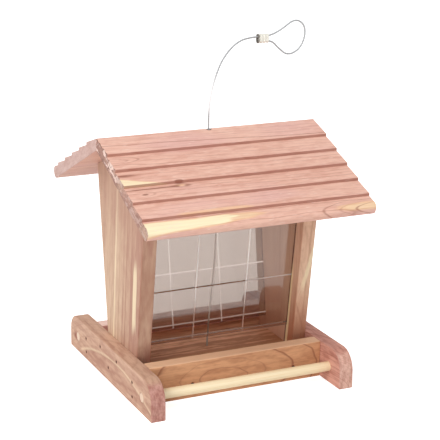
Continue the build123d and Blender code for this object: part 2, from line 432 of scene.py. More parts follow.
class Board(Finish):
    """The finish of one board, which knows which way its grain runs."""

    def __init__(self, name, axes, seed, turn=(0, 0, 0), shift=(0, 0, 0)):
        super().__init__(name)
        self.seed = seed
        turned = {"Vector": self.place(), "Rotation": turn, "Location": shift}
        spots = self.split(self.node("Mapping", turned))
        self.along, self.across, self.deep = [spots[axis] for axis in axes]
        self.normal = self.facing()
        self.cut = self.rise(abs(self.normal[axes[0]]), 0.35, 0.75)

    def grain(self, lengthwise, crosswise, number, detail=2):
        spot = self.join(self.along * lengthwise, self.across * crosswise, self.deep * crosswise)
        return self.noise(spot, self.seed + number, detail)

    def bell(self, start, width, size, stretch):
        """A soft mound at a place on the face, drawn out along the grain."""
        away = ((self.along - start) * stretch) ** 2 + (self.across - width) ** 2
        return 2.718 ** (away * (-1 / size**2))

    def past_edge(self):
        """Level distance past the leaning front and rear edges of a wall, below 0 inside it."""
        _, y, z = self.split(self.place())
        return abs(y) - (z - FLOOR_TOP) * WALL_FLARE - HALF_FOOT

    def at_rim(self):
        """1 on the front and rear edges of a wall, and on the few millimetres beside them."""
        return self.rise(self.past_edge(), -0.007, -0.003)


print("walls lean out by", round(WALL_FLARE, 3), "of their height")

# %% [markdown]
# ## Growth rings
# Rings lie about a pith that is outside most boards, and wander a little along the trunk. Because
# the pattern fills space, faces, edges and ends of one board agree, and a board that is cut across
# the rings shows the arches of flat-sawn wood by itself. A bulge in the trunk adds nested arches.
# Each ring ends in a thin dark line of late wood, and no two lines are equally strong.

# %% Rings


def growth_rings(board, pith, drift=(0, 0), sway=0.012, ragged=0, ring=0.0055, fine=0.7,
                 bulges=()):
    """Late wood, from 0 to 1, in thin lines of different strength."""
    aside = board.bowed - pith[0] + board.along * drift[0]
    inward = board.deep - pith[1] + board.along * drift[1]
    radius = (aside * aside + inward * inward) ** 0.5 + (board.grain(5, 10, 0, 1) - 0.5) * sway
    if ragged:
        radius = radius + (board.grain(30, 60, 0.5, 1) - 0.5) * ragged
    for start, width, size, stretch, push in bulges:
        radius = radius + board.bell(start, width, size, stretch) * push
    count = radius / ring
    uneven = board.noise(board.join(count * 0.27, 0, 0), board.seed + 1)
    count = count + (uneven - 0.5) * 2.5
    part = board.only("FRACT", count)
    number = {"W": board.only("FLOOR", count)}
    strength = board.node("TexWhiteNoise", number, noise_dimensions="1D")
    line = board.rise(part, fine, 0.95) * (1 - board.rise(part, 0.95, 1))
    return line * (0.3 + 0.7 * strength * strength)


print("each ring ends in a line of late wood")

# %% [markdown]
# ## Sapwood and knots
# The outer wood of the tree is nearly white and shows in streaks where a board was sawn near the
# bark. A streak is given by where it starts and stops along the grain and how wide it is at either
# end. Its border is orange, because the wood colours most just inside the sapwood. A knot is the
# foot of a branch: a dark spot, drawn out along the grain, and a negative amount hollows it. The
# few pointed arches that stand alone on a face are drawn one by one.

# %% Sapwood and knots
SAPWOOD = (0.98, 0.85, 0.57)
BORDER = (0.76, 0.4, 0.18)
KNOT = (0.27, 0.09, 0.055)
ARCH_LINE = 0.0036
STREAK_FADE = 0.012


def sapwood(board, streaks, dip):
    """How far the wood is sapwood, from 0 to 1, with edges that dip into the board."""
    sap = 0
    for start, stop, first, last, soft, amount in streaks:
        share = (board.along - start) / (stop - start)
        edge = board.bowed + board.deep * dip + (board.grain(16, 70, 5) - 0.5) * soft * 2.5
        above = board.rise(edge - share * (last[0] - first[0]), first[0] - soft, first[0] + soft)
        below = board.rise(edge - share * (last[1] - first[1]), first[1] - soft, first[1] + soft)
        reach = board.along + (board.grain(10, 160, 6) - 0.5) * 0.05
        begun = board.rise(reach, start - STREAK_FADE, start + STREAK_FADE)
        ended = board.rise(reach, stop - STREAK_FADE, stop + STREAK_FADE)
        sap = sap + (begun - ended) * (above - below) * amount
    return sap


def knot_wood(board, knots):
    """How far the wood is knot, from 0 to 1."""
    core = 0
    for start, width, size, stretch, amount in knots:
        core = core + board.bell(start, width, size, stretch) * amount
    return board.rise(core + (board.grain(120, 600, 9) - 0.5) * 0.35, 0.18, 0.85)


def pointed_arches(board, arches, dip):
    """Single dark arches, from 0 to 1, each with its tip and how far it opens behind it."""
    drawn = 0
    for tip, middle, half, opening, strength in arches:
        off = (board.bowed + board.deep * dip - middle) / half
        behind = board.along - tip - off * off * opening + (board.grain(25, 90, 5.5) - 0.5) * 0.008
        line = 1 - board.rise(abs(behind), 0, ARCH_LINE)
        drawn = drawn + line * (1 - board.rise(abs(off), 0.9, 1.4)) * strength
    return drawn


print("sapwood", SAPWOOD, "knots", KNOT)

# %% [markdown]
# ## Planed wood
# Between the rings cedar is never one colour. Clouds and stripes of lighter and darker wood run
# along the grain, a short mottle lies over them, and one side of a board can be redder because it
# was nearer the heart. Some boards also blush in patches or have a few long dark lines.

# %% Planed wood


def planed_wood(board, tones, stripe, heart, mottled, blush, lines):
    """Colour of a planed face before rings and sapwood are drawn on it."""
    light, dark, late = tones[:3]
    clouds = board.rise(board.grain(6, 24, 2, 3), 0.34, 0.68)
    stripes = board.rise(board.grain(2, stripe[1], 3, 3), 0.36, 0.66)
    mottle = board.rise(board.grain(55, 190, 3.5, 2), 0.4, 0.66)
    shade = clouds * 0.3 + stripes * stripe[0] + (mottle - 0.4) * mottled
    if heart:
        redder, paler, amount = heart
        shade = shade + (1 - board.rise(board.bowed, redder, paler)) * amount
    colour = board.mix(shade, light, dark)
    if blush:
        patches = board.rise(board.grain(5, 18, 7), 0.5, 0.68)
        colour = board.mix(patches * 0.6, colour, blush)
    for centre, width, amount in lines:
        off = abs(board.bowed - centre + (board.grain(8, 12, 7.5) - 0.5) * 0.006)
        colour = board.mix((1 - board.rise(off, 0, width)) * amount, colour, late)
    return colour


print("planed wood mixes clouds, stripes and mottle")

# %% [markdown]
# ## Sawn ends
# End grain soaks up more than a planed face, so sawn ends take two tones of their own, blotched and
# rough. One end of the roof was torn by the saw: there pale chips stand up from the dark wood, with
# cracks of painted shade between them, most of all near the ridge.

# %% Sawn ends
PAINTED_CREVICE_SHADE = (0.1, 0.045, 0.03)
CHIPPED = (0.95, 0.74, 0.65)


def speckle(board, spread, number, detail, scale):
    """Noise on the end of a board, a little drawn out across its face."""
    spot = board.join(board.deep, board.across * spread, board.along)
    return board.noise(spot, board.seed + number, detail, scale)


def sawn_end(board, tones, latewood, pores, torn):
    """Colour of the end grain."""
    late, end_light, end_dark = tones[2:]
    blotch = speckle(board, 0.4, 9, 2, 190)
    rough = board.rise(pores * 0.4 + blotch * 0.6, 0.36, 0.64)
    colour = board.mix(latewood * 0.35, board.mix(rough, end_light, end_dark), late)
    if torn:
        patches = board.rise(board.noise(board.place(), board.seed + 10, 2, 45), 0.5, 0.58)
        colour = board.mix(patches * 0.55, colour, end_dark)
        upper = 1 - board.rise(abs(board.across), 0.06, 0.1)
        chips = board.rise(blotch, 0.53, 0.57) * (0.3 + upper * 0.55)
        colour = board.mix(chips, colour, CHIPPED)
        # The cracks between the chips are painted shade.
        gaps = board.noise(board.place(), board.seed + 12, 2, 330)
        cracks = (1 - board.rise(gaps, 0.34, 0.42)) * upper
        colour = board.mix(cracks * 0.9, colour, PAINTED_CREVICE_SHADE)
    return colour


print("torn ends go from", PAINTED_CREVICE_SHADE, "to", CHIPPED)

# %% [markdown]
# ## Inner faces of the walls
# In the hopper, painted light pales the inner faces of the walls, most of all behind the rear pane,
# and painted shade darkens them by the floor and just in front of the front kerf. The kerfs that
# hold the panes get painted shade. A straw-coloured line runs up beside the foot of the front kerf.
# Two distances find all this: how deep in the wall a point lies, and how far it is from the wall's
# leaning edge.

# %% Inner faces of the walls
WALL_INNER = 0.1002
KERF_SETBACK = 0.0202
KERF_MIDDLE = KERF_SETBACK - 0.0008
KERF_FLOOR = 0.1062
PAINTED_SHADE_TONE = (0.41, 0.155, 0.08)
PAINTED_LIGHT_TONE = (0.95, 0.76, 0.62)
STRAW = (0.8, 0.6, 0.34)


def inside_of_wall(board, colour):
    """Colour of a wall, with painted light and shade on its inner face, and painted shade in its
    kerfs.
    """
    x, y, z = board.split(board.place())
    depth = abs(x)
    past = board.past_edge()
    inner = 1 - board.rise(depth, WALL_INNER + 0.0002, WALL_INNER + 0.001)
    beyond = board.rise(past, -KERF_SETBACK - 0.001, -KERF_SETBACK + 0.001)
    front = 1 - board.rise(y, -0.001, 0.001)
    ahead = beyond * front
    low = 1 - board.rise(z, 0.03, 0.13)
    # Painted light on the inner face, and painted shade in front of the front kerf and by the floor.
    colour = board.mix(inner * (1 - ahead) * 0.32, colour, PAINTED_LIGHT_TONE)
    colour = board.mix(inner * (ahead * 0.3 + low * 0.72), colour, PAINTED_SHADE_TONE)
    # Painted light on the inner face behind the rear kerf.
    behind = (beyond - ahead) * board.rise(z, 0.045, 0.09)
    colour = board.mix(inner * behind * 0.85, colour, PAINTED_LIGHT_TONE)
    # Painted shade in the kerfs, deepest at the front.
    slot = 1 - board.rise(abs(past + KERF_MIDDLE), 0.0022, 0.0028)
    slot = slot * (1 - board.rise(depth, KERF_FLOOR, KERF_FLOOR + 0.0004))
    colour = board.mix(slot * (0.1 + front * 0.75), colour, PAINTED_CREVICE_SHADE)
    line = board.rise(past, -0.0194, -0.0188) - board.rise(past, -0.014, -0.0125)
    line = line * ahead * inner * (1 - board.rise(z, 0.12, 0.15))
    return board.mix(line * 0.8, colour, STRAW)


print("kerfs lie", KERF_SETBACK * 1000, "mm behind the walls' edges")

# %% [markdown]
# ## Wear and shade
# Handling and weather leave marks: scuffs lift pale fibres. Painted shade darkens a wall under
# the roof or at its foot, and the plumb faces of the laps. The tops of the tray rails can take a
# painted highlight, a lighter tone where light falls on them from above.

# %% Wear and shade
LAP_SHADE = (0.31, 0.115, 0.08)


def weathered(board, colour, scuffed, painted_shade_band, rim):
    """Colour with scuffs, and with painted shade up or down a wall."""
    if scuffed:
        scuffs = board.rise(board.grain(70, 800, 11, 2), 0.62, 0.7)
        colour = board.mix(scuffs * scuffed, colour, CHIPPED)
    if painted_shade_band:
        start, stop, amount, tone = painted_shade_band
        # Painted shade, up or down a wall.
        darker = board.rise(board.height(), start, stop)
        if rim:
            darker = darker * board.at_rim()
        colour = board.mix(darker * amount, colour, tone)
    return colour


def shaded_faces(board, colour, laps, painted_top_light):
    """Colour with painted shade on the plumb faces of the laps, and with a painted highlight on the
    top.
    """
    if laps:
        eave, amount = laps
        # Painted shade on the plumb faces of the laps.
        plumb = board.rise(abs(board.normal[1]), 0.5, 0.8) * (1 - board.cut)
        plumb = plumb * (1 - board.rise(abs(board.across), eave, eave + 0.003))
        colour = board.mix(plumb * amount, colour, LAP_SHADE)
    if painted_top_light:
        # Painted highlight on faces that look up.
        colour = board.mix(board.rise(board.normal[2], 0.2, 0.8) * 0.7, colour, painted_top_light)
    return colour


print("laps are shaded with", LAP_SHADE)

# %% [markdown]
# ## Cedar
# The finish of a board lays these one over the other: planed wood, sapwood, late wood and arches,
# short dark fibres, scuffs and painted shade, knots, sawn ends, painted shade and highlights, and
# the painted light and shade of the hopper. The fibres also give the bump, and the dull and bright
# streaks of planed softwood.

# %% Cedar


def with_sapwood(board, colour, sap, border):
    """Colour with its pale streaks, which have an orange border or none."""
    if not border:
        return board.mix(sap, colour, SAPWOOD)
    colour = board.mix(board.rise(sap, 0.04, 0.4) * 0.75, colour, border)
    return board.mix(board.rise(sap, 0.35, 1.1), colour, SAPWOOD)


def cedar(board, tones, rings, stripe=(0.4, 150), heart=None, contrast=0.5, blush=None,
          mottled=0.25, streaks=(), border=BORDER, lines=(), knots=(), sweep=(0, 0), dip=0,
          laps=None, kerf=False, rim=False, arches=(), painted_top_light=None, torn=False, scuffed=0,
          painted_shade_band=None):
    """The finish of a cedar board, from its five tones."""
    late = tones[2]
    bow = board.along - sweep[0]
    board.bowed = board.across + bow * bow * sweep[1]
    latewood = growth_rings(board, **rings)
    fibres = board.grain(18, 1400, 4)
    flecks = board.rise(board.grain(45, 800, 4.5, 3), 0.55, 0.72)
    colour = planed_wood(board, tones, stripe, heart, mottled, blush, lines)
    if streaks:
        sap = sapwood(board, streaks, dip)
        if rim:
            sap = sap * board.at_rim()
        colour = with_sapwood(board, colour, sap, border)
        pale = board.rise(sap, 0.2, 0.9)
        latewood = latewood * (1 - 0.75 * pale)
        flecks = flecks * (1 - 0.8 * pale)
    colour = board.mix(latewood * contrast, colour, late)
    if arches:
        colour = board.mix(pointed_arches(board, arches, dip), colour, late)
    colour = board.mix(board.rise(fibres, 0.5, 0.8) * 0.3 + flecks * 0.25, colour, late)
    colour = weathered(board, colour, scuffed, painted_shade_band, rim)
    if knots:
        colour = board.mix(knot_wood(board, knots) * 0.85, colour, KNOT)
    pores = speckle(board, 0.45, 8, 3, 620)
    colour = board.mix(board.cut * 0.9, colour, sawn_end(board, tones, latewood, pores, torn))
    colour = shaded_faces(board, colour, laps, painted_top_light)
    if kerf:
        colour = inside_of_wall(board, colour)
    colour = board.mix(board.mark("eased") * 0.14, colour, late)
    roughness = 0.56 + fibres * 0.16 + board.cut * 0.14 - latewood * 0.08
    height = fibres * 0.7 + latewood * 0.35 + board.cut * pores
    board.shade(Base_Color=colour, Roughness=roughness, Normal=board.bump(height, 0.3, 0.0004))
    board.shade(Specular_IOR_Level=0.3)
    print(board.material.name, "has", len(board.tree.nodes), "nodes")
    return board.material


# %% [markdown]
# ## Tones
# One tree gives many colours. The roof boards are salmon pink, the walls go from wheat to rust, the
# left rail is tan, the right one rose, the front tray rail amber, the rear one dusky and the floor
# umber. Each set has five tones: light wood, dark wood, late wood, and light and dark end grain.

# %% Tones
SALMON = ((0.86, 0.53, 0.42), (0.71, 0.37, 0.28), (0.4, 0.15, 0.1),
          (0.52, 0.315, 0.25), (0.22, 0.105, 0.085))
SALMON_REAR = ((0.86, 0.55, 0.44), (0.73, 0.4, 0.3), (0.4, 0.16, 0.1),
               (0.62, 0.45, 0.41), (0.49, 0.315, 0.275))
WHEAT = ((0.69, 0.5, 0.345), (0.437, 0.236, 0.172), (0.32, 0.13, 0.08),
         (0.6, 0.36, 0.29), (0.42, 0.22, 0.17))
RUST = ((0.81, 0.545, 0.375), (0.58, 0.32, 0.22), (0.34, 0.13, 0.08),
        (0.58, 0.34, 0.29), (0.36, 0.15, 0.12))
TAN = ((0.625, 0.4, 0.28), (0.42, 0.215, 0.148), (0.3, 0.12, 0.08),
       (0.6, 0.32, 0.27), (0.38, 0.15, 0.12))
AMBER = ((0.74, 0.4, 0.215), (0.48, 0.22, 0.11), (0.27, 0.085, 0.045),
         (0.56, 0.29, 0.22), (0.4, 0.18, 0.13))
ROSE = ((0.7, 0.37, 0.285), (0.42, 0.165, 0.125), (0.32, 0.1, 0.07),
        (0.79, 0.5, 0.4), (0.55, 0.28, 0.215))
UMBER = ((0.87, 0.5, 0.31), (0.37, 0.172, 0.08), *AMBER[2:])
DUSK = ((0.9, 0.49, 0.41), (0.56, 0.235, 0.19), (0.38, 0.13, 0.1), *ROSE[3:])
print("each set has", len(SALMON), "tones")

# %% [markdown]
# ## The roof boards
# Both roof boards slope, so a Mapping node turns them flat before the grain is drawn: then the
# second axis is the distance from the ridge. The front board has a wedge of sapwood on its third
# lap, a broad streak along the left of the eave, a smaller one at its right end with pointed
# arches beside it, and a knot smeared along the foot of the third lap. It is scuffed all over, and
# its left end is the torn one.

# %% Front roof board
PITCH = radians(24.6)
RIDGE = 0.319
LAPS = (0.1665, 0.72)
GOLD = (0.89, 0.56, 0.32)
LILAC = (0.76, 0.44, 0.4)
woods = {}


def roof_board(name, seed, pitch):
    """A sloping board, turned flat."""
    shift = (0, RIDGE * sin(pitch), -RIDGE * cos(pitch))
    return Board(name, (0, 1, 2), seed, turn=(pitch, 0, 0), shift=shift)


woods["front_roof_board"] = cedar(
    roof_board("front_roof_cedar", 1, -PITCH), SALMON, laps=LAPS, contrast=0.9, blush=LILAC,
    mottled=0.6, stripe=(0.3, 110), dip=0.6, torn=True, scuffed=0.6, border=GOLD,
    rings=dict(
        pith=(0.16, -0.05), drift=(0.03, 0), sway=0.018, ragged=0.004, ring=0.0075, fine=0.8),
    knots=[
        (-0.08, -0.099, 0.0022, 0.4, 1.2), (-0.078, -0.106, 0.004, 0.42, 1.3),
        (-0.078, -0.106, 0.0025, 0.42, -1.5), (-0.118, -0.1062, 0.0015, 0.032, 1),
        (-0.129, -0.117, 0.0018, 0.4, 1), (-0.142, -0.079, 0.0034, 0.16, 0.75),
    ],
    arches=[
        (-0.1135, -0.048, 0.008, -0.03, 0.55), (-0.128, -0.049, 0.005, -0.02, 0.4),
        (-0.1162, -0.115, 0.0055, -0.02, 0.4), (0.0767, -0.18, 0.012, 0.03, 0.6),
        (0.1, -0.1805, 0.009, 0.028, 0.3), (0.1207, -0.1815, 0.0065, 0.02, 0.7),
    ],
    streaks=[
        (-0.2, -0.096, (-0.1, -0.07), (-0.1, -0.0985), 0.0014, 0.85),
        (-0.2, -0.045, (-0.189, -0.165), (-0.1797, -0.1655), 0.0028, 1.3),
        (-0.06, -0.004, (-0.18, -0.1655), (-0.175, -0.1665), 0.003, 0.6),
        (0.105, 0.2, (-0.183, -0.1735), (-0.185, -0.171), 0.003, 0.62),
        (-0.105, -0.01, (-0.16, -0.1535), (-0.16, -0.1525), 0.003, 0.35),
        (-0.088, -0.07, (-0.106, -0.1025), (-0.106, -0.1025), 0.0015, 0.4),
    ],
)

# %% Rear roof board
woods["rear_roof_board"] = cedar(
    roof_board("rear_roof_cedar", 2, PITCH), SALMON_REAR, laps=LAPS, contrast=0.75, blush=LILAC,
    mottled=0.45, knots=[(0.083, 0.128, 0.0045, 0.4, 1)],
    rings=dict(
        pith=(-0.17, -0.04), drift=(-0.02, 0), sway=0.016,
        bulges=[(0.15, 0.07, 0.012, 0.28, 0.018), (-0.02, 0.13, 0.011, 0.25, 0.018)],
    ),
    streaks=[(-0.05, 0.2, (0.165, 0.174), (0.166, 0.186), 0.0035, 1.1)],
)

# %% [markdown]
# ## The gable walls
# The walls stand with their grain upright, leaning a little. The left one is wheat-coloured at the
# back and redder to the front, with a yellow line up its middle and a cream streak nearer the
# front, and painted shade darkens it under the roof and at its front foot. The right one is
# redder, sapwood crosses its front edge on a slant, and painted shade darkens the foot of that edge.

# %% Gable walls
woods["left_gable_wall"] = cedar(
    Board("left_wall_cedar", (2, 1, 0), 3, turn=(radians(-5.5), 0, 0)), WHEAT, kerf=True,
    # Painted shade under the roof.
    painted_shade_band=(0.15, 0.25, 0.5, WHEAT[1]),
    rings=dict(pith=(0.26, -0.06), sway=0.006, ring=0.0065),
    stripe=(0.42, 120), heart=(-0.06, 0.055, 0.48), border=None,
    # The knot at the front foot is painted shade where the wall meets the rail.
    knots=[(0.05, -0.048, 0.011, 0.45, 0.62)],
    lines=[(-0.0034, 0.0022, 0.55), (0.019, 0.0016, 0.35), (-0.05, 0.003, 0.45)],
    streaks=[
        (0.02, 0.4, (0.033, 0.0362), (0.032, 0.0352), 0.0012, 0.55),
        (0.084, 0.17, (-0.0384, -0.0272), (-0.0378, -0.0266), 0.0013, 0.66),
    ],
)
woods["right_gable_wall"] = cedar(
    Board("right_wall_cedar", (2, 0, 1), 4), RUST, kerf=True, rim=True,
    # Painted shade at the foot of the front edge.
    painted_shade_band=(0.135, 0.028, 0.85, PAINTED_SHADE_TONE),
    rings=dict(pith=(-0.02, 0.25), sway=0.003, ring=0.0065),
    stripe=(0.45, 120), border=None, lines=[(0.113, 0.002, 0.3)],
    streaks=[(0.108, 0.172, (0.104, 0.11), (0.1177, 0.1237), 0.0014, 0.62)],
)

# %% [markdown]
# ## The rails and the floor
# A rail is one board on edge, with grain from front to back. In the left one the rings come up as a
# long low arch: tan wood above it, redder wood below, and a pale line between. The front tray rail
# was sawn near the pith and shows wide, broken arches. Every nail has a dark ring round its head:
# painted shade of its sunk hole, and the stain that iron leaves in cedar. The imported nails say
# where, so their corners are gathered nail by nail.

# %% Nail stains
NAIL_APART = 0.006
NAIL_SHADE_AND_STAIN = 0.0027


def nail_spots(node, along, across):
    """Small dark knots of painted shade and stain where nails sit."""
    groups = []
    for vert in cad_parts[node].data.vertices:
        place = Vector((vert.co[along], vert.co[across]))
        near = [group for group in groups if (group[0] - place).length < NAIL_APART]
        if near:
            near[0].append(place)
        else:
            groups.append([place])
    middles = [sum(group, Vector((0, 0))) / len(group) for group in groups]
    print(node, "are", len(middles), "nails")
    return [(middle[0], middle[1], NAIL_SHADE_AND_STAIN, 1, 1.2) for middle in middles]


print("a nail's stain is", NAIL_SHADE_AND_STAIN * 2000, "mm across")

# %% Rails and floor
woods["left_side_rail"] = cedar(
    Board("left_rail_cedar", (1, 2, 0), 5), TAN,
    rings=dict(pith=(-0.05, -0.155), ring=0.0075), sweep=(-0.025, 1.6),
    heart=(0.0325, 0.036, 0.3), contrast=0.34, border=None, mottled=0.5,
    knots=[(0.121, 0.02, 0.006, 0.6, 1)] + nail_spots("left_rail_nails", 1, 2),
    streaks=[
        (-0.16, 0.1, (0.0322, 0.035), (0.0322, 0.0352), 0.0015, 0.36),
        (0.112, 0.13, (0.008, 0.012), (0.008, 0.012), 0.0012, 0.45),
    ],
)
woods["right_side_rail"] = cedar(
    Board("right_rail_cedar", (1, 2, 0), 6), ROSE,
    rings=dict(pith=(-0.02, 0.1), ring=0.006), sweep=(-0.16, 1.2),
    contrast=0.8, stripe=(0.6, 150), mottled=0.5, knots=nail_spots("right_rail_nails", 1, 2),
)
woods["front_tray_rail"] = cedar(
    Board("front_tray_cedar", (0, 2, 1), 7), AMBER, contrast=0.85, mottled=0.5,
    # The lighter top is a painted highlight.
    painted_top_light=(0.79, 0.52, 0.335), knots=nail_spots("front_tray_nails", 0, 2),
    rings=dict(
        pith=(0.02, -0.0977), drift=(0, 0.38), sway=0.02, ragged=0.008, ring=0.0125, fine=0.87),
)
woods["rear_tray_rail"] = cedar(
    Board("rear_tray_cedar", (0, 2, 1), 8), DUSK, contrast=0.6,
    # The lighter top is a painted highlight.
    painted_top_light=(0.96, 0.76, 0.66), knots=nail_spots("rear_tray_nails", 0, 2),
    rings=dict(
        pith=(0.015, 0.105), drift=(0, 0.2), sway=0.02, ragged=0.005, ring=0.0095, fine=0.78),
)
woods["floor_board"] = cedar(
    Board("floor_cedar", (0, 1, 2), 9), UMBER, contrast=0.7, stripe=(0.75, 110), mottled=0.4,
    heart=(-0.04, 0.05, 0.5), rings=dict(pith=(0.2, -0.04), ring=0.006),
)

# %% [markdown]
# ## The splintered end
# The torn end of the roof stands out against the sky, so colour alone is not enough for it. The rim
# of that end is cut into short edges, and noise pushes its points in by up to three millimetres,
# most of all near the ridge.

# %% Splintered end
RIM_DEPTH = 0.002
RIM_PIECE = 0.003
SPLINTER = 0.003


def splintered(mesh):
    """Breaks the left end of a board: its rim is cut fine and pushed in unevenly."""
    bm = bmesh.new()
    bm.from_mesh(mesh)
    inmost = min(vert.co.x for vert in bm.verts) + RIM_DEPTH
    rim = [edge for edge in bm.edges if all(vert.co.x < inmost for vert in edge.verts)]
    coarse = [edge for edge in rim if edge.calc_length() > RIM_PIECE]
    bmesh.ops.subdivide_edges(bm, edges=coarse, cuts=24, use_grid_fill=True)
    for vert in bm.verts:
        if vert.co.x < inmost:
            spot = Vector((0, vert.co.y, vert.co.z))
            upper = 1 - min(max((abs(vert.co.y) - 0.07) / 0.06, 0), 0.7)
            wide = max(noise.noise(spot * 210), 0)
            fine = max(noise.noise(spot * 620), 0)
            vert.co.x += SPLINTER * upper * (wide + 0.6 * fine)
    bm.to_mesh(mesh)
    bm.free()
    print("the torn end had", len(rim), "edges, and", len(coarse), "were cut")


print("splinters go in by up to", SPLINTER * 1000, "mm")

# %% [markdown]
# ## Boards with rounded edges
# Every board is copied, eased by a little under a millimetre, or by half as much where laps are
# thin, and given its cedar. The copy stands for the imported board, which is hidden.

# %% Boards
EASE = 0.0009
LAP_EASE = 0.0005
for node, wood in woods.items():
    roof = "roof" in node
    body, slot = ("roof", "cedar_roof") if roof else ("feeder", "cedar")
    torn = splintered if node == "front_roof_board" else None
    eased_piece(node, LAP_EASE if roof else EASE, body, wood, change=torn)

# %% [markdown]
# ## Perches
# The perches are turned from pale hardwood with a fine straight grain, and their sawn ends show
# flush in the rails. A shop dowel has a small rounding at its ends, and it is painted dark as the
# shade in the groove it leaves against the rail.

# %% Perches
DOWEL_EASE = 0.0008
DOWEL_EDGE = 0.01
dowel = Finish("pale_dowel")
x, y, z = dowel.split(dowel.place())
pores = dowel.noise(dowel.join(x * 9, y * 700, z * 700), 11, 3)
streaky = dowel.noise(dowel.join(x * 3, y * 160, z * 160), 11.5, 2)
shade = dowel.rise(pores * 0.5 + streaky * 0.5, 0.35, 0.68)
tone = dowel.mix(shade, (1, 0.87, 0.61), (0.9, 0.7, 0.42))
sawn = dowel.rise(abs(dowel.facing()[0]), 0.6, 0.95)
tone = dowel.mix(sawn * 0.8, tone, dowel.mix(pores, (0.78, 0.58, 0.46), (0.62, 0.43, 0.33)))
# Painted shade on the rounded ends, where they meet the rails.
tone = dowel.mix(dowel.mark("eased") * 0.55, tone, (0.42, 0.22, 0.13))
dowel.shade(Base_Color=tone, Roughness=0.5 + pores * 0.2, Normal=dowel.bump(pores, 0.2, 0.0003))
for node in ("front_perch", "rear_perch"):
    eased_piece(node, DOWEL_EASE, "feeder", dowel.material, DOWEL_EDGE)

# %% [markdown]
# ## Panes
# The panes are clear acrylic with a light smoky tint, a little darker low down, and handling leaves
# faint smears that show as duller patches. The sheet bends and mirrors what the camera sees in it.
# Rays that only carry light go straight through, as they nearly do through thin sheet.

# %% Acrylic
acrylic = Finish("clear_acrylic")
smears = acrylic.rise(acrylic.noise(acrylic.place(), 12, 3, 30), 0.42, 0.75)
tint = acrylic.mix(smears, (0.64, 0.575, 0.535), (0.62, 0.555, 0.52))
low = 1 - acrylic.rise(acrylic.height(), 0.07, 0.26)
tint = acrylic.mix(low, tint, (0.605, 0.542, 0.505))
acrylic.shade(Base_Color=tint, Roughness=0.012 + smears * 0.03)
acrylic.shade(Transmission_Weight=1, IOR=1.58)
sheet = Value(acrylic, acrylic.shader.outputs[0])
thin = acrylic.node("BsdfTransparent", {"Color": (0.95, 0.92, 0.9)})
either = acrylic.node("MixShader", {0: acrylic.seen_ray(), 1: thin, 2: sheet})
acrylic.feed(acrylic.tree.nodes["Material Output"].inputs["Surface"], either)
print("finish", acrylic.material.name)

# %% [markdown]
# ## Scored squares
# A V cut with a hard point is not clear: its sides are scratched white, with painted shade in them
# low down. The cuts are found on a welded copy, as the faces that lean halfway between the sheet
# and its edge. On the front pane only the left sides of the upright cuts, which face the lamps, are
# white, as painted light. Its level cuts look down into the dark tray and are clear, but their right
# ends take the sawn white as a painted highlight. The white cuts glow, as painted light, the rear
# ones most. Lower edges are sawn.

# %% Scored white
PAINTED_LOW_SHADE = (0.28, 0.17, 0.13)


def scored(name, cover, glow, seed, shaded, white=(0.96, 0.94, 0.92)):
    """A scratched white that is partly see-through, with painted shade low down and an emission glow
    that is painted light.
    """
    made = Finish(name)
    scratches = made.noise(made.place(), seed, 3, 1500)
    pale = made.mix(scratches * 0.6, white, (0.62, 0.59, 0.57))
    # Painted shade low down.
    painted_by_height = 1 - made.rise(made.height(), 0.08, 0.125)
    pale = made.mix(painted_by_height * shaded, pale, PAINTED_LOW_SHADE)
    made.shade(Base_Color=pale, Roughness=0.5 + scratches * 0.2, Alpha=cover + scratches * 0.2)
    # The emission is painted light.
    made.shade(Emission_Color=pale, Emission_Strength=glow)
    print(name, "glow", glow)
    return made.material


front_grooves = scored("front_grooves", 0.4, 0.55, 12.5, 0.9)
rear_grooves = scored("rear_grooves", 0.55, 1.3, 12.7, 0.5, (0.92, 0.96, 1))
sawn_edges_and_highlights = scored("sawn_edges_and_highlights", 0.4, 0, 12.9, 0.9)

# %% Panes
PANE_SHARP = 10
RIGHT_END = 0.05
WHITE, SAWN_AND_HIGHLIT = 1, 2
panes = {"front_window": (-1, front_grooves, 0.5), "rear_window": (1, rear_grooves, 2)}
for node, (side, white_cut, level) in panes.items():
    mesh = mesh_from(welded(node), node)
    pane = finished(node + "_scored", mesh, "feeder", acrylic.material, PANE_SHARP)
    mesh.materials.append(white_cut)
    mesh.materials.append(sawn_edges_and_highlights)
    outward = Vector((0, side * cos(WALL_LEAN), -sin(WALL_LEAN)))
    grooves = [face for face in mesh.polygons if 0.5 < face.normal.dot(outward) < 0.9]
    for face in grooves:
        slope = abs(face.normal.z)
        # The right ends of the front level cuts take the sawn white as a painted highlight.
        if slope > level and face.center.x > RIGHT_END:
            face.material_index = SAWN_AND_HIGHLIT
        # Only the left sides of the front upright cuts, which face the lamps, are white: painted
        # light.
        elif slope < level and (side > 0 or face.normal.x < 0):
            face.material_index = WHITE
    for face in mesh.polygons:
        if face.normal.z < -0.9:
            face.material_index = SAWN_AND_HIGHLIT
    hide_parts(node)
    print(node, "has", len(grooves), "groove faces")

# %% [markdown]
# ## Metals
# The cable and its washer are galvanised steel, the nails are dull brown, and the two sleeves are
# soft grey aluminium. Fine noise breaks up the gloss of each, because none of them is polished.

# %% Metals


def metal(name, bright, dull, share, gloss, scale, seed):
    """A finish of mottled metal."""
    made = Finish(name)
    mottle = made.rise(made.noise(made.place(), seed, 3, scale), 0.3, 0.7)
    made.shade(Base_Color=made.mix(mottle, bright, dull), Roughness=gloss + mottle * 0.2)
    made.shade(Metallic=share, Normal=made.bump(mottle, 0.15, 0.0002))
    print(name, "is", share, "metal")
    return made


